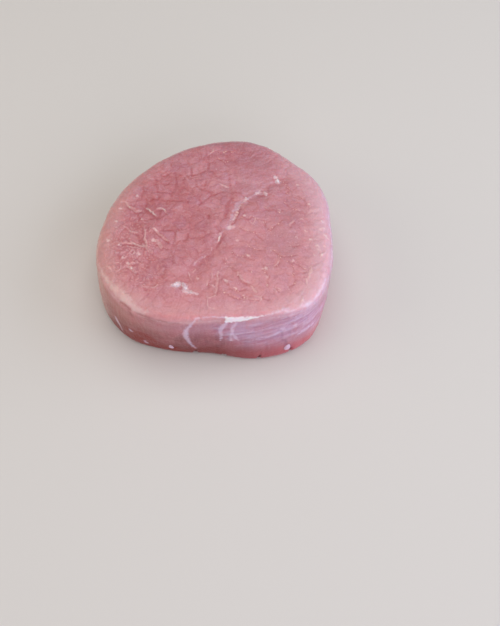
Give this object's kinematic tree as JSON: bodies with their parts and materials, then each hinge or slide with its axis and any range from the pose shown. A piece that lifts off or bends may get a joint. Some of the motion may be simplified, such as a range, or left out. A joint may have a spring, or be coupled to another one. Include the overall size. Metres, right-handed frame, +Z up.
{
  "type": "raw veal fillet slice",
  "caption": "Thick round slice of raw boneless veal fillet with a rolled rim, a seam between two muscles and a flat foot.",
  "frame": {"origin": "middle of the flat underside that the slice rests on", "axes": "+Z up through the cut faces, -Y towards the front of the slice, +X to its right"},
  "size_m": [0.094, 0.0924, 0.0301],
  "materials": {
    "veal_muscle": "moist pale pink raw muscle, with darker lines between its bundles, silver skin and white fat round the wall"
  },
  "bodies": {
    "root": {"veal_fillet": "veal_muscle"}
  },
  "joints": []
}
